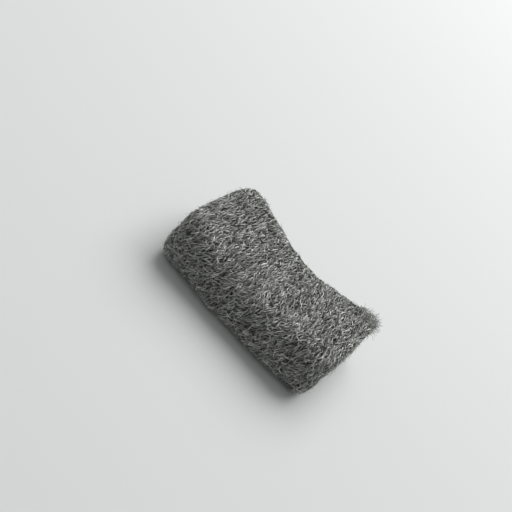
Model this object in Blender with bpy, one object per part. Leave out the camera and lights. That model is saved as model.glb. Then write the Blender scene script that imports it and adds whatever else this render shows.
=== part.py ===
"""Scrub pad of wire wool, for Blender 4.5. Metres, +Z up.

A ribbon of fine wire wool is rolled round the pad's long axis and pressed flat, so the
strands run across the top and down over the long sides, and both ends show the roll's
turns. A hand has dished the top, one far corner of the outer turn stands out as an ear,
and the ribbon's loose end lies as a low lip along the back.

The pad rests on its flat underside. X runs along the pad, +Y is its back, and the
origin is under the middle of its box.
"""

import math

import bmesh
import bpy
from mathutils import Vector, noise

# Overall block
PAD_LENGTH = 0.0965
PAD_WIDTH = 0.0594
END_THICKNESS = 0.0285

# Rounding of the section's corners, and of the turn from the long faces to the ends
FRONT_RADIUS = 0.0112
BACK_RADIUS = 0.0090
BASE_RADIUS = 0.0065
END_RADIUS = 0.0075

# Dish that a hand has pressed into the top, and the waist that it pinched into the back
DISH_PLACE = 0.0080
DISH_DEPTH = 0.0052
BACK_WAIST = 0.0036
FRONT_BELLY = 0.0010

# Ends as they have been pulled about
END_BULGE = 0.0022
BASE_TUCK = 0.0026
LEFT_SLANT = 0.0030
LEFT_CORNER_LIFT = 0.0022

# Ear of the outer turn, and the crease that it leaves below it on the end
EAR_SPAN = 0.0150
EAR_REACH = 0.0068
EAR_BACK = 0.0022
EAR_LIFT = 0.0046
CREASE_HEIGHT = 0.0170
CREASE_WIDTH = 0.0050
CREASE_DEPTH = 0.0024

# Roll's turns, seen at both ends
TURN_THICKNESS = 0.0058
TURN_GROOVE = 0.0012
END_CROWN = 0.0012
ROLL_HEART = 0.0034
HEART_ROUNDING = 0.75

# Loose end of the ribbon, a lip along the back
LIP_RISE = 0.0014
LIP_RUN = 0.0100
LIP_DROP = 0.0020
LIP_HEIGHT = 0.0085

# Locks of strands that lie side by side across the pad, and the broad lumps under them
LOCK_WIDTH = 0.0060
LOCK_RUN = 0.0200
LOCK_HEIGHT = 0.0025
LOCK_WANDER = 0.0030
LOCK_SLANT = 0.6
LOCK_CREASE = 0.18
LUMP_HEIGHT = 0.0010
LUMP_LENGTH = 0.0190
PRESSED_FLAT = 0.0025

# Fineness of the mesh
LENGTH_STEPS = 76
HEART_STEPS = 9
TOP_STEPS = 19
SIDE_STEPS = 7
BASE_STEPS = 7
FRONT_ARC_STEPS = 7
BACK_ARC_STEPS = 6
BASE_ARC_STEPS = 4
END_ARC_STEPS = 5

STEEL_WOOL = (0.19, 0.19, 0.185, 1.0)


def clear_scene():
    for obj in list(bpy.data.objects):
        bpy.data.objects.remove(obj)


def ease(value):
    """0 to 1 with a soft start and end."""
    value = min(max(value, 0.0), 1.0)
    return value * value * (3.0 - 2.0 * value)


def section(inset):
    """The pad's cross-section as (y, z) points, drawn in by inset, from the back's top corner over the top.

    The outer turn is a rounded block. The turns inside it close up into flat ovals.
    """
    half_width = PAD_WIDTH / 2 - inset
    roundest = HEART_ROUNDING * (END_THICKNESS / 2 - inset)
    oval = ease(2 * inset / (END_THICKNESS - ROLL_HEART))
    outer = (BACK_RADIUS, FRONT_RADIUS, BASE_RADIUS)
    back, front, base = (min(radius + (roundest - radius) * oval, roundest) for radius in outer)
    top = END_THICKNESS - inset
    corners = (
        (1, top - back, back, 0, BACK_ARC_STEPS, TOP_STEPS),
        (-1, top - front, front, 90, FRONT_ARC_STEPS, SIDE_STEPS),
        (-1, inset + base, base, 180, BASE_ARC_STEPS, BASE_STEPS),
        (1, inset + base, base, 270, BASE_ARC_STEPS, SIDE_STEPS),
    )
    arcs = []
    for side, height, radius, first_angle, steps, _ in corners:
        centre = Vector((side * (half_width - radius), height))
        angles = [math.radians(first_angle + 90 * k / steps) for k in range(steps + 1)]
        arcs.append([centre + radius * Vector((math.cos(a), math.sin(a))) for a in angles])
    points = []
    for k, arc in enumerate(arcs):
        points += arc
        straight_steps = corners[k][-1]
        following = arcs[(k + 1) % len(arcs)][0]
        points += [arc[-1].lerp(following, n / straight_steps) for n in range(1, straight_steps)]
    return points


def end_rings():
    """(inset, distance in from the end) of the rings from a long face round onto the end, then to the roll's heart."""
    rings = []
    for k in range(END_ARC_STEPS + 1):
        angle = math.pi / 2 * k / END_ARC_STEPS
        rings.append((END_RADIUS * (1 - math.cos(angle)), END_RADIUS * (1 - math.sin(angle))))
    heart = (END_THICKNESS - ROLL_HEART) / 2
    for k in range(1, HEART_STEPS + 1):
        rings.append((END_RADIUS + (heart - END_RADIUS) * k / HEART_STEPS, 0.0))
    return rings


def turn_depth(inset, share):
    """How far the end face lies back at this inset and share of the way round, where two turns of the roll meet."""
    groove = TURN_GROOVE * (0.5 - 0.5 * math.cos(math.tau * (inset / TURN_THICKNESS + share)))
    return ease(inset / END_RADIUS) * groove - END_CROWN * ease(2 * inset / END_THICKNESS)


def stations():
    """(x, inset) of every ring, from the left end's heart to the right end's."""
    half = PAD_LENGTH / 2
    ends = end_rings()
    straight = PAD_LENGTH - 2 * END_RADIUS
    left = [(-half + back, inset) for inset, back in reversed(ends)]
    middle = [(-half + END_RADIUS + straight * k / LENGTH_STEPS, 0.0) for k in range(1, LENGTH_STEPS)]
    right = [(half - back, inset) for inset, back in ends]
    return left + middle + right


def lay_ring(ring, x, inset):
    """Places a loop of vertices as the section at x."""
    points = section(inset)
    girth = sum((point - points[k - 1]).length for k, point in enumerate(points))
    way = 0.0
    for k, (vertex, point) in enumerate(zip(ring, points)):
        depth = turn_depth(inset, way / girth)
        vertex.co = (x - math.copysign(depth, x), point.x, point.y)
        way += (points[(k + 1) % len(points)] - point).length


def next_ring(bm, ring):
    """Extrudes a loop of vertices and returns the new loop in the same order."""
    edges = [bm.edges.get((ring[k - 1], ring[k])) for k in range(len(ring))]
    extruded = bmesh.ops.extrude_edge_only(bm, edges=edges)["geom"]
    fresh = {item for item in extruded if isinstance(item, bmesh.types.BMVert)}
    following = []
    for vertex in ring:
        following.append(next(e.other_vert(vertex) for e in vertex.link_edges if e.other_vert(vertex) in fresh))
    return following


def roll(bm):
    """The pressed roll before it is handled: its section lofted from end to end."""
    places = stations()
    ring = bmesh.ops.create_circle(bm, segments=len(section(0.0)), radius=PAD_WIDTH)["verts"]
    lay_ring(ring, *places[0])
    first = ring
    for x, inset in places[1:]:
        ring = next_ring(bm, ring)
        lay_ring(ring, x, inset)
    bmesh.ops.contextual_create(bm, geom=[bm.edges.get((first[k - 1], first[k])) for k in range(len(first))])
    bmesh.ops.contextual_create(bm, geom=[bm.edges.get((ring[k - 1], ring[k])) for k in range(len(ring))])
    bmesh.ops.recalc_face_normals(bm, faces=bm.faces)


def lip(point, normal):
    """Height of the ribbon's loose end over the turn below it, on the back."""
    above = point.z - LIP_HEIGHT
    rise = ease(1 - above / LIP_RUN) if above > 0 else ease(1 + above / LIP_DROP)
    return LIP_RISE * rise * max(normal.y, 0.0)


def locks(point, normal):
    """Rounded locks of strands with creases between them, and the broad lumps under them.

    Locks lie across the top and lean over on the long sides, as the ribbon was wound.
    """
    wander = LOCK_WANDER * noise.noise(point / LOCK_RUN) - LOCK_SLANT * point.z
    lock = abs(noise.noise(Vector(((point.x + wander) / LOCK_WIDTH, point.y / LOCK_RUN, point.z / LOCK_RUN))))
    lump = noise.noise(point / LUMP_LENGTH)
    return (LOCK_HEIGHT * (lock - LOCK_CREASE) + LUMP_HEIGHT * lump) * (1 - abs(normal.x))


def surface(bm):
    """Moves each vertex out or in along its normal. What the pad rests on stays flat."""
    bm.normal_update()
    moves = []
    for vertex in bm.verts:
        pressed = ease(vertex.co.z / PRESSED_FLAT)
        moves.append(vertex.normal * pressed * (locks(vertex.co, vertex.normal) + lip(vertex.co, vertex.normal)))
    for vertex, move in zip(bm.verts, moves):
        vertex.co += move


def handled(point):
    """Where a point of the pressed roll lies once the pad has been gripped and pulled about."""
    half = PAD_LENGTH / 2
    end = ease(abs(point.x) / half)
    to_end = half - math.copysign(DISH_PLACE, point.x - DISH_PLACE)
    middle = ease(1 - abs(point.x - DISH_PLACE) / to_end)
    across = point.y / (PAD_WIDTH / 2)
    height = point.z / END_THICKNESS
    back = ease((across + 1) / 2)
    moved = point.copy()
    moved.z -= DISH_DEPTH * middle * height
    moved.y -= BACK_WAIST * middle * back + FRONT_BELLY * middle * (1 - back)
    out = END_BULGE * (1 - min(across * across, 1.0)) - BASE_TUCK * (1 - height)
    moved.x += math.copysign(out * end, point.x)
    if point.x < 0:
        moved.x += LEFT_SLANT * end * back
        moved.z += LEFT_CORNER_LIFT * end * back * height
    return moved + pulled_ear(point)


def pulled_ear(point):
    """The pull on the far right corner of the outer turn, and the crease below it on the end."""
    corner = ease(1 - (PAD_LENGTH / 2 - point.x) / EAR_SPAN) * ease(1 - (PAD_WIDTH / 2 - point.y) / EAR_SPAN)
    raised = corner * ease((point.z - CREASE_HEIGHT) / (END_THICKNESS - CREASE_HEIGHT))
    creased = corner * ease(1 - abs(point.z - CREASE_HEIGHT) / CREASE_WIDTH)
    return raised * Vector((EAR_REACH, EAR_BACK, EAR_LIFT)) - creased * Vector((CREASE_DEPTH, 0.0, 0.0))


def centre_on_base(bm):
    """Puts the middle of the pad's box over the origin, with its underside at zero."""
    lows = [min(v.co[k] for v in bm.verts) for k in range(3)]
    highs = [max(v.co[k] for v in bm.verts) for k in range(3)]
    shift = Vector(((lows[0] + highs[0]) / 2, (lows[1] + highs[1]) / 2, lows[2]))
    bmesh.ops.translate(bm, verts=bm.verts, vec=-shift)


def wool_material():
    material = bpy.data.materials.new("steel_wool")
    material.use_nodes = True
    shader = material.node_tree.nodes["Principled BSDF"]
    shader.inputs["Base Color"].default_value = STEEL_WOOL
    shader.inputs["Metallic"].default_value = 0.9
    shader.inputs["Roughness"].default_value = 0.55
    return material


def build_pad():
    bm = bmesh.new()
    roll(bm)
    surface(bm)
    for vertex in bm.verts:
        vertex.co = handled(vertex.co)
    centre_on_base(bm)
    bmesh.ops.triangulate(bm, faces=bm.faces, quad_method="BEAUTY")
    bmesh.ops.recalc_face_normals(bm, faces=bm.faces)
    mesh = bpy.data.meshes.new("wool_pad")
    bm.to_mesh(mesh)
    bm.free()
    mesh.shade_smooth()
    pad = bpy.data.objects.new("wool_pad", mesh)
    bpy.context.scene.collection.objects.link(pad)
    mesh.materials.append(wool_material())
    return pad


def main():
    clear_scene()
    build_pad()


main()
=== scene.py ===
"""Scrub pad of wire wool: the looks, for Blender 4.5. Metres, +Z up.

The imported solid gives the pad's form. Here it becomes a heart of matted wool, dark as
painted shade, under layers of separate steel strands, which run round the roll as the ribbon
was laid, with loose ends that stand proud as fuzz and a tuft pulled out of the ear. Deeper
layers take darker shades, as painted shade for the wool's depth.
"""

import math

import bmesh
import bpy
import numpy as np
from bpy.props import FloatProperty, FloatVectorProperty, IntProperty, PointerProperty
from mathutils import Matrix, Vector, noise
from mathutils.bvhtree import BVHTree


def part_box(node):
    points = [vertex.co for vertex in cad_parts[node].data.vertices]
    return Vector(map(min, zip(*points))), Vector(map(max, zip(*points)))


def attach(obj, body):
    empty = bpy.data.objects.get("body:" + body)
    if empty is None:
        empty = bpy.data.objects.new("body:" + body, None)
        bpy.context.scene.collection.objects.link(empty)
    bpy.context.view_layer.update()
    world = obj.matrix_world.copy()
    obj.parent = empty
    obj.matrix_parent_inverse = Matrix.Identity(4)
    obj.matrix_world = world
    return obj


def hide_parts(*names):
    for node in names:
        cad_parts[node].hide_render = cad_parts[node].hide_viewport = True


bl_info = {
    "name": "Wire Wool Scrub Pad",
    "version": (1, 0, 0),
    "blender": (4, 5, 0),
    "location": "View3D > Sidebar > Scrub Pad",
    "description": "Lays the strands of a wire-wool scrub pad over its packed form",
    "category": "Object",
}

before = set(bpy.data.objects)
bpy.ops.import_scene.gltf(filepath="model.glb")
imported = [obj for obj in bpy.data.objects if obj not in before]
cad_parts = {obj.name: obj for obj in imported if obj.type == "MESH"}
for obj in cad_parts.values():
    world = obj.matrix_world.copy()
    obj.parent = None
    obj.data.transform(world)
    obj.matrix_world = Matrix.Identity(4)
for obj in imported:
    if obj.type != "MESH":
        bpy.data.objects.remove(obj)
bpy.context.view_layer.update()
PAD_LOW, PAD_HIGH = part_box("wool_pad")

BODY = "root"
NODE = "wool_pad"
BAKE_MAP = "OFBake"

# Sides round a strand, and how many shades of steel there are
SIDES = 3
SHADES = 48

# How far apart strands keep, as a share of an even layer's spacing, a cell's neighbours, and
# how many places are tried for each strand
SPACING = 0.62
AROUND = [(i, j, k) for i in (-1, 0, 1) for j in (-1, 0, 1) for k in (-1, 0, 1)]
TRIES = 4

# Faces that look down more steeply than this are the underside, and its share of strands
LOOKS_DOWN = -0.7
UNDERSIDE_SHARE = 0.35

# How much strands differ: spreads of the logarithms of length and thickness, and of twist in radians
RUN_SCATTER = 0.25
THICKNESS_SCATTER = 0.18
TWIST_SCATTER = 1.5

# How much of a strand's bend carries on to its next step
CARRIED = 0.7

# Ranges of a woven strand's wave and crest, as shares of the typical ones, and the share of a
# wave in which its ends dive
WAVES = (0.7, 1.4)
CRESTS = (0.6, 1.4)
DIVING = 0.3

# Share of a woven strand over which each end thins, and how thin it gets
THINNING = 0.2
THIN = 0.5

# Loose ends: the range of their rise, the powers by which most rise little and each lifts off
# gently, and how thin they get
RISES = (0.2, 1.0)
MOSTLY_LOW = 2
LIFT = 1.6
LOOSE_TIP = 0.35

# Ear's tuft: the places tried for it, the way that the ear points, the range of its strands'
# lengths as shares of the typical one, and how thin they get
TUFT_TRIES = 90000
EAR_WAY = (1.0, 0.3, 0.15)
TUFT_RUNS = (0.5, 1.1)
TUFT_TIP = 0.4

# Rounds of smoothing with which the wool bridges the creases, and the height of what lies flat
BRIDGING = 3
RESTING = 0.0001

# How close points are joined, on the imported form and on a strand
JOINING = 1e-6
SEALING = 1e-7

# A shaving's edges are sharper than this, and stay sharp
SHARP = math.radians(60)

# How square the roll is pressed, where 1 is round
SQUARENESS = 3

# Heart's matting: clumps to a metre, the small ones' height as a share, the pattern's scale across
# the roll as a share of that along it, and its strands' width in drawn ones
LARGE_CLUMPS = 900
SMALL_CLUMPS = 2100
SMALL_SHARE = 0.5
STRETCH = 0.22
LAY_STRANDS = 3

# Burrs along a strand, and how much they change its shade
BURRS = 9.0
MOTTLE = 0.3

# Cell of one shade on the bake map: the margin beside a strand, where its sides start, and where
# its caps' corners lie
MARGIN = 0.1
SIDES_START = 0.04
CAP_CORNERS = (0.005, 0.03)

# Softbox's width and place, the floor's half width, and how far the floor lies under the pad
KEY_WIDTH = 2.0
KEY_PLACE = (0.08, 1.04, 1.34)
FLOOR_HALF = 3.0
FLOOR_DROP = 0.0001

# Photograph's frame, where the pad's middle lies in it, the sensor's width, and millimetres to a metre
IMAGE = 512
PAD_PIXEL = (268.2, 289.6)
SENSOR = 0.036
MM = 1000


def linear(colour):
    """Linear RGB of an sRGB hex colour such as 8C8A86."""
    parts = [int(colour[k : k + 2], 16) / 255 for k in (0, 2, 4)]
    return tuple(c / 12.92 if c <= 0.04045 else ((c + 0.055) / 1.055) ** 2.4 for c in parts)


def length(name, description, default):
    return FloatProperty(
        name=name, description=description, default=default, unit="LENGTH", precision=5, min=0.0
    )


def angle(name, description, degrees):
    return FloatProperty(name=name, description=description, default=math.radians(degrees), subtype="ANGLE")


def colour(name, description, value):
    return FloatVectorProperty(
        name=name, description=description, default=linear(value), subtype="COLOR", size=3, min=0.0, max=1.0
    )


def share(name, description, default):
    return FloatProperty(
        name=name, description=description, default=default, min=0.0, max=1.0, subtype="FACTOR"
    )


def number(name, description, default):
    return IntProperty(name=name, description=description, default=default, min=1)


class WoolSizes(bpy.types.PropertyGroup):
    """Sizes that all strands share, and how they lie."""

    width: length("Strand width", "Across a typical strand, drawn coarse enough to show", 0.00028)
    draw_in: length("Draw in", "How far the wool is drawn in, so that its crests make the outline", 0.0003)
    dive: length("Dive", "How far a strand's ends go under the surface", 0.0010)
    wave: length("Wave", "Typical way from one crest of a strand to the next", 0.0064)
    swirl: angle("Swirl", "How far the lay of neighbouring strands wanders", 9)
    swirl_size: length("Swirl size", "Size of a patch with one lay", 0.016)
    fan: angle("Fan", "How far the lay on top turns from the middle to an end", 12)
    slant: angle("Slant", "How far the lay leans over on the long sides", 35)
    top_spread: angle("Spread on top", "Scatter of single strands about the lay on the top", 11)
    side_spread: angle("Spread on the sides", "Scatter of single strands about the lay on the sides", 32)
    heart_depth: length("Heart depth", "How far the matted heart lies under the surface", 0.0010)
    heart_relief: length("Heart relief", "Height of the matting on the heart", 0.0006)


class StrandLayer:
    """What every layer of strands has. Shades run from 0, dark with oxide and painted shade, to 1, freshly
    shaved; deeper layers take darker ranges as painted shade for the wool's depth.
    """

    width: share("Width", "Share of the strand width", 1.0)
    low: length("Troughs", "Depth of a strand's troughs under the surface", 0.0005)
    high: length("Crests", "Height of a strand's crests over the surface", 0.0003)
    curl: angle("Curl", "How far a strand turns over one wave", 20)


class BedLayer(StrandLayer, bpy.types.PropertyGroup):
    """Long dark strands, half buried in the heart; their dark shades are painted shade for their depth."""

    count: number("Strands", "Strands in the layer", 2300)
    points: number("Points", "Points along each strand", 14)
    run: length("Run", "Typical length of a strand", 0.020)
    low: length("Troughs", "Depth of a strand's troughs under the surface", 0.0011)
    high: length("Crests", "Height of a strand's crests over the surface", 0.0)
    darkest: share("Darkest", "Shade of the darkest strands", 0.0)
    brightest: share("Brightest", "Shade of the brightest strands", 0.3)


class LowerLayer(StrandLayer, bpy.types.PropertyGroup):
    """Long grey strands that weave in and out of the face, darker than the upper ones as painted shade."""

    count: number("Strands", "Strands in the layer", 2750)
    points: number("Points", "Points along each strand", 12)
    run: length("Run", "Typical length of a strand", 0.016)
    low: length("Troughs", "Depth of a strand's troughs under the surface", 0.0005)
    high: length("Crests", "Height of a strand's crests over the surface", 0.0004)
    darkest: share("Darkest", "Shade of the darkest strands", 0.0)
    brightest: share("Brightest", "Shade of the brightest strands", 0.6)


class UpperLayer(StrandLayer, bpy.types.PropertyGroup):
    """Bright strands that make the face."""

    count: number("Strands", "Strands in the layer", 4700)
    points: number("Points", "Points along each strand", 7)
    run: length("Run", "Typical length of a strand", 0.0072)
    low: length("Troughs", "Depth of a strand's troughs under the surface", 0.0006)
    high: length("Crests", "Height of a strand's crests over the surface", 0.0004)
    darkest: share("Darkest", "Shade of the darkest strands", 0.6)
    brightest: share("Brightest", "Shade of the brightest strands", 1.0)


class CurlLayer(StrandLayer, bpy.types.PropertyGroup):
    """Short curls that arch over the face."""

    count: number("Strands", "Strands in the layer", 2300)
    points: number("Points", "Points along each strand", 7)
    run: length("Run", "Typical length of a strand", 0.006)
    low: length("Troughs", "Depth of a strand's troughs under the surface", 0.0005)
    high: length("Crests", "Height of a strand's crests over the surface", 0.0005)
    curl: angle("Curl", "How far a strand turns over one wave", 70)
    darkest: share("Darkest", "Shade of the darkest strands", 0.3)
    brightest: share("Brightest", "Shade of the brightest strands", 1.0)


class LooseLayer(StrandLayer, bpy.types.PropertyGroup):
    """Strands whose one end stands free."""

    count: number("Strands", "Strands in the layer", 3500)
    points: number("Points", "Points along each strand", 6)
    run: length("Run", "Typical length of a strand", 0.005)
    width: share("Width", "Share of the strand width", 0.8)
    high: length("Rise", "How far the longest loose ends stand off", 0.0021)
    curl: angle("Curl", "How far a strand turns over one wave", 70)
    darkest: share("Darkest", "Shade of the darkest strands", 0.3)
    brightest: share("Brightest", "Shade of the brightest strands", 1.0)


class TuftLayer(StrandLayer, bpy.types.PropertyGroup):
    """Tuft of strands that have been pulled out of the ear."""

    count: number("Strands", "Strands in the tuft", 300)
    points: number("Points", "Points along each strand", 7)
    run: length("Run", "Typical length of a strand", 0.0055)
    root: length("Root", "How far a strand starts inside the wool", 0.002)
    size: length("Size", "How far from the ear's corner the strands start", 0.009)
    spread: angle("Spread", "Scatter of the strands about the way that the ear points", 24)
    curl: angle("Curl", "How far a strand turns from its root to its end", 100)
    darkest: share("Darkest", "Shade of the darkest strands", 0.2)
    brightest: share("Brightest", "Shade of the brightest strands", 1.0)


class WoolColours(bpy.types.PropertyGroup):
    """Colours of the steel and of the stage."""

    bright: colour("Bright strand", "Freshly shaved steel", "F3F4F0")
    grey: colour("Grey strand", "Steel with a thin film of oxide and oil", "BBBCB9")
    # Dark strand: oxide, and painted shade for the deep layers' strands
    dark: colour("Dark strand", "Oxidised or shaded steel", "3C3C3C")
    # Heart and gap: painted shade of the deep wool and of the gaps between its strands
    heart: colour("Heart", "Matted wool deep inside, where little light gets", "2E2E2D")
    gap: colour("Gap", "Darkest gaps in the heart", "0C0C0C")
    floor: colour("Floor", "Plain pale floor", "EDEFEF")


class WoolStage(bpy.types.PropertyGroup):
    """Camera and light."""

    azimuth: angle("Azimuth", "Camera's turn to the right of the pad's front", 5.4)
    elevation: angle("Elevation", "Camera's height over the floor", 38)
    turn: angle("Turn", "How far the pad is turned clockwise in the picture", 43.5)
    distance: length("Distance", "From the camera to the pad's middle", 0.535)
    aim: length("Aim", "Height of the pad's middle over the floor", 0.012)
    pixels: FloatProperty(name="Scale", description="Pixels to a millimetre at the pad", default=2.1)
    key: FloatProperty(name="Key light", description="Power of the softbox behind the pad", default=29.0)
    sky: FloatProperty(name="Sky", description="Strength of the even light from all round", default=0.25)


def node(tree, kind, links=(), **settings):
    """Adds a node with its settings. Inputs are set by name, and links are (input, socket) pairs."""
    made = tree.nodes.new(kind)
    for name, value in settings.items():
        if name in made.inputs:
            made.inputs[name].default_value = value
        else:
            setattr(made, name, value)
    for name, source in links:
        tree.links.new(source, made.inputs[name])
    return made


def ramp(tree, source, stops):
    """A colour ramp with (place, colour) stops."""
    made = node(tree, "ShaderNodeValToRGB", [("Fac", source)])
    elements = made.color_ramp.elements
    while len(elements) < len(stops):
        elements.new(0.5)
    for element, (place, shade) in zip(elements, stops):
        element.position = place
        element.color = (*shade, 1.0)
    return made.outputs["Color"]


def new_material(name):
    """A material with only a Principled shader, and its node tree and shader."""
    material = bpy.data.materials.new(name)
    material.use_nodes = True
    return material, material.node_tree, material.node_tree.nodes["Principled BSDF"]


def shaved_steel(colours):
    """Low-carbon steel wool, shaved off a wire by toothed blades.

    Each strand is a three-sided shaving. Its fresh faces are bright and its burred edges
    are dull, so shades differ at random from strand to strand and a little along each one.
    Deeper layers take darker shades, as painted shade for the wool's depth.
    """
    material, tree, shader = new_material("shaved_steel_wool")
    own_map = node(tree, "ShaderNodeUVMap", uv_map=BAKE_MAP).outputs["UV"]
    across = node(tree, "ShaderNodeSeparateXYZ", [("Vector", own_map)]).outputs["X"]
    burrs = node(tree, "ShaderNodeTexNoise", [("Vector", own_map)], Scale=BURRS, Detail=2.0).outputs["Fac"]
    mottle = node(tree, "ShaderNodeMath", [(0, burrs)], operation="MULTIPLY_ADD").outputs["Value"]
    mottle.node.inputs[1].default_value = MOTTLE
    mottle.node.inputs[2].default_value = -MOTTLE / 2
    shade = node(tree, "ShaderNodeMath", [(0, across), (1, mottle)], operation="ADD", use_clamp=True)
    # Low shades are painted shade for the deep layers; within a layer shades differ at random
    stops = ((0.0, colours.dark), (0.55, colours.grey), (1.0, colours.bright))
    tree.links.new(ramp(tree, shade.outputs["Value"], stops), shader.inputs["Base Color"])
    shader.inputs["Metallic"].default_value = 0.95
    shader.inputs["Roughness"].default_value = 0.72
    return material


def heart_steel_painted_shade(colours, lay_width):
    """Painted shade for the same steel deep in the pad: its dark colours stand in for the shade in the
    mostly dark gaps that crossing strands leave between them.
    """
    material, tree, shader = new_material("heart_wool_painted_shade")
    places = node(tree, "ShaderNodeTexCoord").outputs["Object"]
    mapping = node(tree, "ShaderNodeMapping", [("Vector", places)], Scale=(1.0, STRETCH, STRETCH))
    stretched = mapping.outputs["Vector"]
    strands = node(tree, "ShaderNodeTexNoise", [("Vector", stretched)], Scale=1.0 / lay_width, Detail=3.0)
    # Both colours are painted shade for the depth of the wool
    stops = ((0.4, colours.gap), (0.62, colours.heart))
    tree.links.new(ramp(tree, strands.outputs["Fac"], stops), shader.inputs["Base Color"])
    shader.inputs["Metallic"].default_value = 0.4
    shader.inputs["Roughness"].default_value = 0.7
    return material


def pale_floor(colours):
    """Smooth painted board."""
    material, _, shader = new_material("pale_board")
    shader.inputs["Base Color"].default_value = (*colours.floor, 1.0)
    shader.inputs["Roughness"].default_value = 0.9
    return material


def settings():
    """The scene's wool sizes, colours and stage."""
    scene = bpy.context.scene
    return scene.wool_sizes, scene.wool_colours, scene.wool_stage


def steel():
    """The strands' material, made once and shared."""
    return bpy.data.materials.get("shaved_steel_wool") or shaved_steel(settings()[1])


def finish_piece(name, mesh, material):
    """Links a mesh as a piece of the pad."""
    piece = bpy.data.objects.new(name, mesh)
    bpy.context.scene.collection.objects.link(piece)
    mesh.materials.clear()
    mesh.materials.append(material)
    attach(piece, BODY)
    return piece


def merged_form():
    """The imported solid's surface as one joined mesh, smoothed so that the wool bridges the creases."""
    bm = bmesh.new()
    bm.from_mesh(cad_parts[NODE].data)
    bmesh.ops.remove_doubles(bm, verts=bm.verts, dist=JOINING)
    bmesh.ops.triangulate(bm, faces=bm.faces)
    raised = [v for v in bm.verts if v.co.z > RESTING]
    for _ in range(BRIDGING):
        bmesh.ops.smooth_vert(
            bm, verts=raised, factor=0.5, use_axis_x=True, use_axis_y=True, use_axis_z=True
        )
    bm.normal_update()
    return bm


class Form:
    """The pad's surface, to draw places from and to lay strands on."""

    def __init__(self):
        bm = merged_form()
        self.tree = BVHTree.FromBMesh(bm)
        corners = [[v.co[:] for v in face.verts] for face in bm.faces]
        self.corners = np.array(corners)
        first = self.corners[:, 1] - self.corners[:, 0]
        second = self.corners[:, 2] - self.corners[:, 0]
        normals = np.cross(first, second)
        self.area = np.linalg.norm(normals, axis=1) / 2
        self.up = normals[:, 2] / (2 * self.area)
        bm.free()

    def scattered(self, rng, count, underside):
        """Random places on the surface, fewer of them on the underside."""
        weight = self.area * np.where(self.up < LOOKS_DOWN, underside, 1.0)
        faces = rng.choice(len(weight), size=count, p=weight / weight.sum())
        a, b = rng.random((2, count, 1))
        flip = a + b > 1
        a, b = np.where(flip, 1 - a, a), np.where(flip, 1 - b, b)
        corner = self.corners[faces]
        return corner[:, 0] + a * (corner[:, 1] - corner[:, 0]) + b * (corner[:, 2] - corner[:, 0])

    def places(self, rng, layer, sizes, underside=UNDERSIDE_SHARE):
        """Random places for a layer's strands.

        Each keeps a clear strip of the surface to itself, so that the wool is even.
        """
        along = SPACING * layer.run
        beside = SPACING * self.area.sum() / (layer.count * layer.run)
        taken, cells = [], {}
        for place in self.scattered(rng, TRIES * layer.count, underside):
            key = tuple((place // along).astype(int))
            near = [p for cell in AROUND for p in cells.get(tuple(k + c for k, c in zip(key, cell)), ())]
            if near:
                _, normal, _, _ = self.tree.find_nearest(Vector(place))
                gaps = np.array(near) - place
                ahead = gaps @ np.array(lay(Vector(place), normal, sizes))
                aside = (gaps**2).sum(1) - ahead**2
                if (aside / beside**2 + (ahead / along) ** 2).min() < 1:
                    continue
            cells.setdefault(key, []).append(place)
            taken.append(place)
        return taken[: layer.count]


def lay(point, normal, sizes):
    """The way the ribbon was wound: round the roll, fanned out on top and slanted on the long sides."""
    middle = (PAD_LOW + PAD_HIGH) / 2
    half = (PAD_HIGH - PAD_LOW) / 2
    beside = ((point.y - middle.y) / half.y) ** SQUARENESS
    above = ((point.z - middle.z) / half.z) ** SQUARENESS
    way = Vector((1.0, 0.0, 0.0)).cross(Vector((0.0, beside, above)))
    way -= way.dot(normal) * normal
    if way.length < 1e-6:
        return normal.orthogonal().normalized()
    turn = sizes.swirl * 2 * noise.noise(point / sizes.swirl_size)
    turn += sizes.fan * point.x / half.x * max(normal.z, 0.0)
    turn -= sizes.slant * abs(normal.y)
    way.rotate(Matrix.Rotation(turn, 3, normal))
    return way.normalized()


def strand_path(form, start, rng, sizes, layer, rise):
    """Points of one strand along the surface, about its start.

    rise(way, run) is the strand's height over the surface.
    """
    place, normal, _, _ = form.tree.find_nearest(Vector(start))
    side = 1 - abs(normal.z)
    spread = sizes.top_spread + (sizes.side_spread - sizes.top_spread) * side
    heading = lay(place, normal, sizes)
    heading.rotate(Matrix.Rotation(rng.normal(0.0, spread), 3, normal))
    if rng.random() < 0.5:
        heading.negate()
    run = layer.run * rng.lognormal(0.0, RUN_SCATTER)
    step = run / (layer.points - 1)
    bend = layer.curl * step / sizes.wave
    turn = rng.normal(0.0, bend)
    place = place - heading * run / 2
    path = []
    for k in range(layer.points):
        place, normal, _, _ = form.tree.find_nearest(place)
        path.append(place + normal * (rise(k * step, run) - sizes.draw_in))
        turn = CARRIED * turn + rng.normal(0.0, CARRIED * bend)
        heading.rotate(Matrix.Rotation(turn, 3, normal))
        heading -= heading.dot(normal) * normal
        heading.normalize()
        place = place + heading * step
    return path


def strand_profile(width):
    """The three-sided section of a shaving, as a closed curve for the strands to be swept with."""
    curve = bpy.data.curves.new("strand_profile", "CURVE")
    curve.dimensions = "2D"
    spline = curve.splines.new("POLY")
    spline.points.add(SIDES - 1)
    for k, point in enumerate(spline.points):
        turn = math.tau * k / SIDES
        point.co = (width / 2 * math.cos(turn), width / 2 * math.sin(turn), 0.0, 1.0)
    spline.use_cyclic_u = True
    profile = bpy.data.objects.new("strand_profile", curve)
    bpy.context.scene.collection.objects.link(profile)
    return profile


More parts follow.
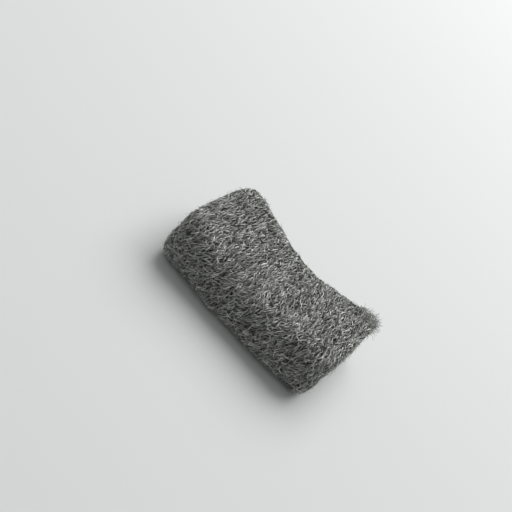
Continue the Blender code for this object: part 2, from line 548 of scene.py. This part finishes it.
def swept(paths, rng, width, taper):
    """Sweeps the profile along the paths, and returns the closed strands as one mesh."""
    profile = strand_profile(width)
    curve = bpy.data.curves.new("strands", "CURVE")
    curve.dimensions = "3D"
    curve.bevel_mode = "OBJECT"
    curve.bevel_object = profile
    curve.use_fill_caps = True
    count = len(taper)
    for path in paths:
        spline = curve.splines.new("POLY")
        spline.points.add(count - 1)
        size = rng.lognormal(0.0, THICKNESS_SCATTER)
        low = width / 2 * size
        places = [(p.x, p.y, max(p.z, low), 1.0) for p in path]
        spline.points.foreach_set("co", np.array(places, np.float32).ravel())
        spline.points.foreach_set("radius", (size * np.array(taper)).astype(np.float32))
        tilts = rng.uniform(0.0, math.tau) + np.linspace(0.0, rng.normal(0.0, TWIST_SCATTER), count)
        spline.points.foreach_set("tilt", tilts.astype(np.float32))
    holder = bpy.data.objects.new("strands", curve)
    bpy.context.scene.collection.objects.link(holder)
    shown = holder.evaluated_get(bpy.context.evaluated_depsgraph_get())
    mesh = bpy.data.meshes.new_from_object(shown)
    for spare in (holder, profile):
        bpy.data.objects.remove(spare)
    return mesh


def map_strands(mesh, count, points, shades):
    """Puts each strand in the cell of its shade on the bake map.

    Across a cell is round the strand, and up the cell is along it. Strands of one shade share
    a cell. The caps at a strand's ends lie in the cell's ends.
    """
    loops = np.empty(len(mesh.loops), np.int64)
    mesh.loops.foreach_get("vertex_index", loops)
    caps = 2 * SIDES * count
    inner = 1 - 2 * MARGIN
    uv = np.zeros((len(loops), 2))
    ends = np.arange(caps)
    strand = ends // (2 * SIDES)
    corner = ends % SIDES
    far = (ends // SIDES) % 2
    uv[:caps, 0] = shades[strand] + (MARGIN + inner / 2 * corner) / SHADES
    uv[:caps, 1] = np.where(corner == 1, CAP_CORNERS[1], CAP_CORNERS[0])
    uv[:caps, 1] = np.where(far == 1, 1 - uv[:caps, 1], uv[:caps, 1])
    ring = loops[caps:] - caps
    strand = ring // (SIDES * points)
    along = ring // SIDES % points
    turn = (ring % SIDES).reshape(-1, 4)
    closing = (turn.max(1) - turn.min(1) == SIDES - 1)[:, None] & (turn == 0)
    turn = np.where(closing, SIDES, turn).ravel()
    uv[caps:, 0] = shades[strand] + (MARGIN + inner * turn / SIDES) / SHADES
    uv[caps:, 1] = SIDES_START + (1 - 2 * SIDES_START) * along / (points - 1)
    for layer in list(mesh.uv_layers):
        mesh.uv_layers.remove(layer)
    mesh.uv_layers.new(name=BAKE_MAP).data.foreach_set("uv", uv.astype(np.float32).ravel())


def sealed(mesh):
    """Joins the caps to the sides, so that each strand is one closed body. A shaving's edges stay sharp."""
    bm = bmesh.new()
    bm.from_mesh(mesh)
    bmesh.ops.remove_doubles(bm, verts=bm.verts, dist=SEALING)
    bm.to_mesh(mesh)
    bm.free()
    mesh.set_sharp_from_angle(angle=SHARP)
    return mesh


def strand_piece(name, paths, rng, layer, taper):
    """Sweeps, maps and seals a layer's strands, and gives them their shades."""
    mesh = swept(paths, rng, layer.width * settings()[0].width, taper)
    shades = rng.uniform(layer.darkest, layer.brightest, len(paths))
    # A hair under SHADES keeps the brightest strands in the last cell
    map_strands(mesh, len(paths), layer.points, np.floor(shades * (SHADES - 1e-3)) / SHADES)
    return finish_piece(name, sealed(mesh), steel())


def tapered(points):
    """Thickness along a woven strand, full but for its ends."""
    along = (0.0, THINNING, 1 - THINNING, 1.0)
    return np.interp(np.linspace(0, 1, points), along, (THIN, 1.0, 1.0, THIN))


def woven_strands(name, seed, layer):
    """One layer of strands that weave over and under their neighbours, and dive under at both ends."""
    sizes = settings()[0]
    rng = np.random.default_rng(seed)
    form = Form()
    paths = []
    for start in form.places(rng, layer, sizes):
        wave = sizes.wave * rng.uniform(*WAVES)
        crest = rng.uniform(*CRESTS) * layer.high

        def rise(way, run):
            swing = 0.5 + 0.5 * math.cos(math.tau * (way - run / 2) / wave)
            hidden = max(1 - min(way, run - way) / (DIVING * wave), 0.0)
            return crest * swing - layer.low * (1 - swing) - sizes.dive * hidden

        paths.append(strand_path(form, start, rng, sizes, layer, rise))
    return strand_piece(name, paths, rng, layer, tapered(layer.points))


class WOOL_OT_heart(bpy.types.Operator):
    """Makes the matted heart that shows between the strands, dark as painted shade"""

    bl_idname = "wool.heart"
    bl_label = "Heart"

    def execute(self, context):
        sizes, colours, _ = settings()
        bm = merged_form()
        bmesh.ops.subdivide_edges(bm, edges=bm.edges, cuts=1, use_grid_fill=True)
        bm.normal_update()
        moves = []
        for vertex in bm.verts:
            mat = noise.noise(vertex.co * LARGE_CLUMPS)
            mat += SMALL_SHARE * noise.noise(vertex.co * SMALL_CLUMPS)
            moves.append(vertex.normal * (sizes.heart_relief * mat - sizes.heart_depth))
        for vertex, move in zip(bm.verts, moves):
            vertex.co += move
        mesh = bpy.data.meshes.new("wool_heart")
        bm.to_mesh(mesh)
        bm.free()
        mesh.shade_smooth()
        heart = finish_piece("wool_heart", mesh, heart_steel_painted_shade(colours, sizes.width * LAY_STRANDS))
        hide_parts(NODE)
        return {"FINISHED"}


class WOOL_OT_bed(bpy.types.Operator):
    """Lays the strands that are half buried in the heart, dark as painted shade for their depth"""

    bl_idname = "wool.bed"
    bl_label = "Bed strands"

    def execute(self, context):
        woven_strands("bed_strands", 11, context.scene.wool_bed)
        return {"FINISHED"}


class WOOL_OT_face(bpy.types.Operator):
    """Lays the strands that make the pad's faces"""

    bl_idname = "wool.face"
    bl_label = "Face strands"

    def execute(self, context):
        woven_strands("lower_face_strands", 12, context.scene.wool_lower)
        woven_strands("upper_face_strands", 13, context.scene.wool_upper)
        return {"FINISHED"}


class WOOL_OT_curls(bpy.types.Operator):
    """Lays the short curls that arch over the faces"""

    bl_idname = "wool.curls"
    bl_label = "Curls"

    def execute(self, context):
        woven_strands("surface_curls", 14, context.scene.wool_curls)
        return {"FINISHED"}


class WOOL_OT_loose(bpy.types.Operator):
    """Adds the loose ends that stand off the faces"""

    bl_idname = "wool.loose"
    bl_label = "Loose ends"

    def execute(self, context):
        sizes = settings()[0]
        layer = context.scene.wool_loose
        rng = np.random.default_rng(15)
        form = Form()
        paths = []
        for start in form.places(rng, layer, sizes, underside=0.0):
            reach = layer.high * rng.uniform(*RISES) ** MOSTLY_LOW

            def rise(way, run):
                return -layer.low + (reach + layer.low) * (way / run) ** LIFT

            paths.append(strand_path(form, start, rng, sizes, layer, rise))
        strand_piece("loose_ends", paths, rng, layer, np.linspace(1.0, LOOSE_TIP, layer.points))
        return {"FINISHED"}


class WOOL_OT_tuft(bpy.types.Operator):
    """Pulls a tuft of strands out of the ear at the far right corner"""

    bl_idname = "wool.tuft"
    bl_label = "Ear tuft"

    def execute(self, context):
        layer = context.scene.wool_tuft
        rng = np.random.default_rng(16)
        form = Form()
        corner, _, _, _ = form.tree.find_nearest(PAD_HIGH)
        tried = map(Vector, form.scattered(rng, TUFT_TRIES, 0.0))
        starts = [place for place in tried if (place - corner).length < layer.size]
        paths = [self.pulled(start, rng, layer) for start in starts[: layer.count]]
        strand_piece("ear_tuft", paths, rng, layer, np.linspace(1.0, TUFT_TIP, layer.points))
        return {"FINISHED"}

    def pulled(self, start, rng, layer):
        """Points of one strand that points out of the ear and curls."""
        way = Vector(EAR_WAY).normalized()
        for side in "XYZ":
            way.rotate(Matrix.Rotation(rng.normal(0.0, layer.spread), 3, side))
        axis = Vector(rng.normal(0.0, 1.0, 3)).normalized()
        step = layer.run * rng.uniform(*TUFT_RUNS) / (layer.points - 1)
        point = start - way * layer.root
        path = []
        for _ in range(layer.points):
            path.append(point)
            way.rotate(Matrix.Rotation(layer.curl / layer.points, 3, axis))
            point = point + way * step
        return path


class WOOL_OT_stage(bpy.types.Operator):
    """Sets the floor, the light and the camera"""

    bl_idname = "wool.stage"
    bl_label = "Stage"

    def execute(self, context):
        _, colours, stage = settings()
        self.floor(colours)
        self.sky(stage)
        self.key(stage)
        self.camera(stage)
        context.scene.view_settings.view_transform = "Standard"
        return {"FINISHED"}

    def floor(self, colours):
        """A wide board under the pad."""
        bm = bmesh.new()
        bmesh.ops.create_grid(bm, x_segments=1, y_segments=1, size=FLOOR_HALF)
        mesh = bpy.data.meshes.new("floor")
        bm.to_mesh(mesh)
        bm.free()
        mesh.materials.append(pale_floor(colours))
        board = bpy.data.objects.new("floor", mesh)
        board.location.z = -FLOOR_DROP
        bpy.context.scene.collection.objects.link(board)

    def sky(self, stage):
        """Even white light from all round."""
        world = bpy.data.worlds.new("studio")
        world.use_nodes = True
        back = world.node_tree.nodes["Background"]
        back.inputs["Color"].default_value = (1.0, 1.0, 1.0, 1.0)
        back.inputs["Strength"].default_value = stage.sky
        bpy.context.scene.world = world

    def key(self, stage):
        """A round softbox over and behind the pad, which it faces."""
        light = bpy.data.lights.new("key", "AREA")
        light.shape = "DISK"
        light.size = KEY_WIDTH
        light.energy = stage.key
        lamp = bpy.data.objects.new("key", light)
        lamp.location = KEY_PLACE
        lamp.rotation_euler = (-Vector(KEY_PLACE)).to_track_quat("-Z", "Y").to_euler()
        bpy.context.scene.collection.objects.link(lamp)

    def camera(self, stage):
        """Looks at the pad's middle, rolled so that the pad lies turned as in the photograph."""
        azimuth, elevation, turn = stage.azimuth, stage.elevation, -stage.turn
        back = Vector(
            (
                math.sin(azimuth) * math.cos(elevation),
                -math.cos(azimuth) * math.cos(elevation),
                math.sin(elevation),
            )
        )
        right = Vector((math.cos(azimuth), math.sin(azimuth), 0.0))
        up = back.cross(right)
        across = math.cos(turn) * right - math.sin(turn) * up
        upward = math.sin(turn) * right + math.cos(turn) * up
        lens = bpy.data.cameras.new("camera")
        lens.sensor_width = SENSOR * MM
        lens.lens = stage.pixels * stage.distance * SENSOR / IMAGE * MM**2
        lens.shift_x = 0.5 - PAD_PIXEL[0] / IMAGE
        lens.shift_y = PAD_PIXEL[1] / IMAGE - 0.5
        camera = bpy.data.objects.new("camera", lens)
        camera.matrix_world = Matrix.Translation(
            Vector((0.0, 0.0, stage.aim)) + back * stage.distance
        ) @ Matrix((across, upward, back)).transposed().to_4x4()
        bpy.context.scene.collection.objects.link(camera)
        bpy.context.scene.camera = camera


class WOOL_PT_panel(bpy.types.Panel):
    """Lists the pad's parts and settings"""

    bl_label = "Scrub Pad"
    bl_idname = "WOOL_PT_panel"
    bl_space_type = "VIEW_3D"
    bl_region_type = "UI"
    bl_category = "Scrub Pad"

    def draw(self, context):
        for operator in OPERATORS:
            self.layout.operator(operator.bl_idname)
        for name in GROUPS:
            group = getattr(context.scene, name)
            # The first two are Blender's own
            for setting in group.bl_rna.properties[2:]:
                self.layout.prop(group, setting.identifier)


GROUPS = {
    "wool_sizes": WoolSizes,
    "wool_colours": WoolColours,
    "wool_stage": WoolStage,
    "wool_bed": BedLayer,
    "wool_lower": LowerLayer,
    "wool_upper": UpperLayer,
    "wool_curls": CurlLayer,
    "wool_loose": LooseLayer,
    "wool_tuft": TuftLayer,
}
OPERATORS = (
    WOOL_OT_heart,
    WOOL_OT_bed,
    WOOL_OT_face,
    WOOL_OT_curls,
    WOOL_OT_loose,
    WOOL_OT_tuft,
    WOOL_OT_stage,
)


def register():
    for made in (*GROUPS.values(), *OPERATORS, WOOL_PT_panel):
        bpy.utils.register_class(made)
    for name, group in GROUPS.items():
        setattr(bpy.types.Scene, name, PointerProperty(type=group))


def unregister():
    for name in GROUPS:
        delattr(bpy.types.Scene, name)
    for made in (WOOL_PT_panel, *reversed(OPERATORS), *reversed(GROUPS.values())):
        bpy.utils.unregister_class(made)


def main():
    register()
    bpy.ops.wool.heart()
    bpy.ops.wool.bed()
    bpy.ops.wool.face()
    bpy.ops.wool.curls()
    bpy.ops.wool.loose()
    bpy.ops.wool.tuft()
    bpy.ops.wool.stage()


if __name__ == "__main__":
    main()
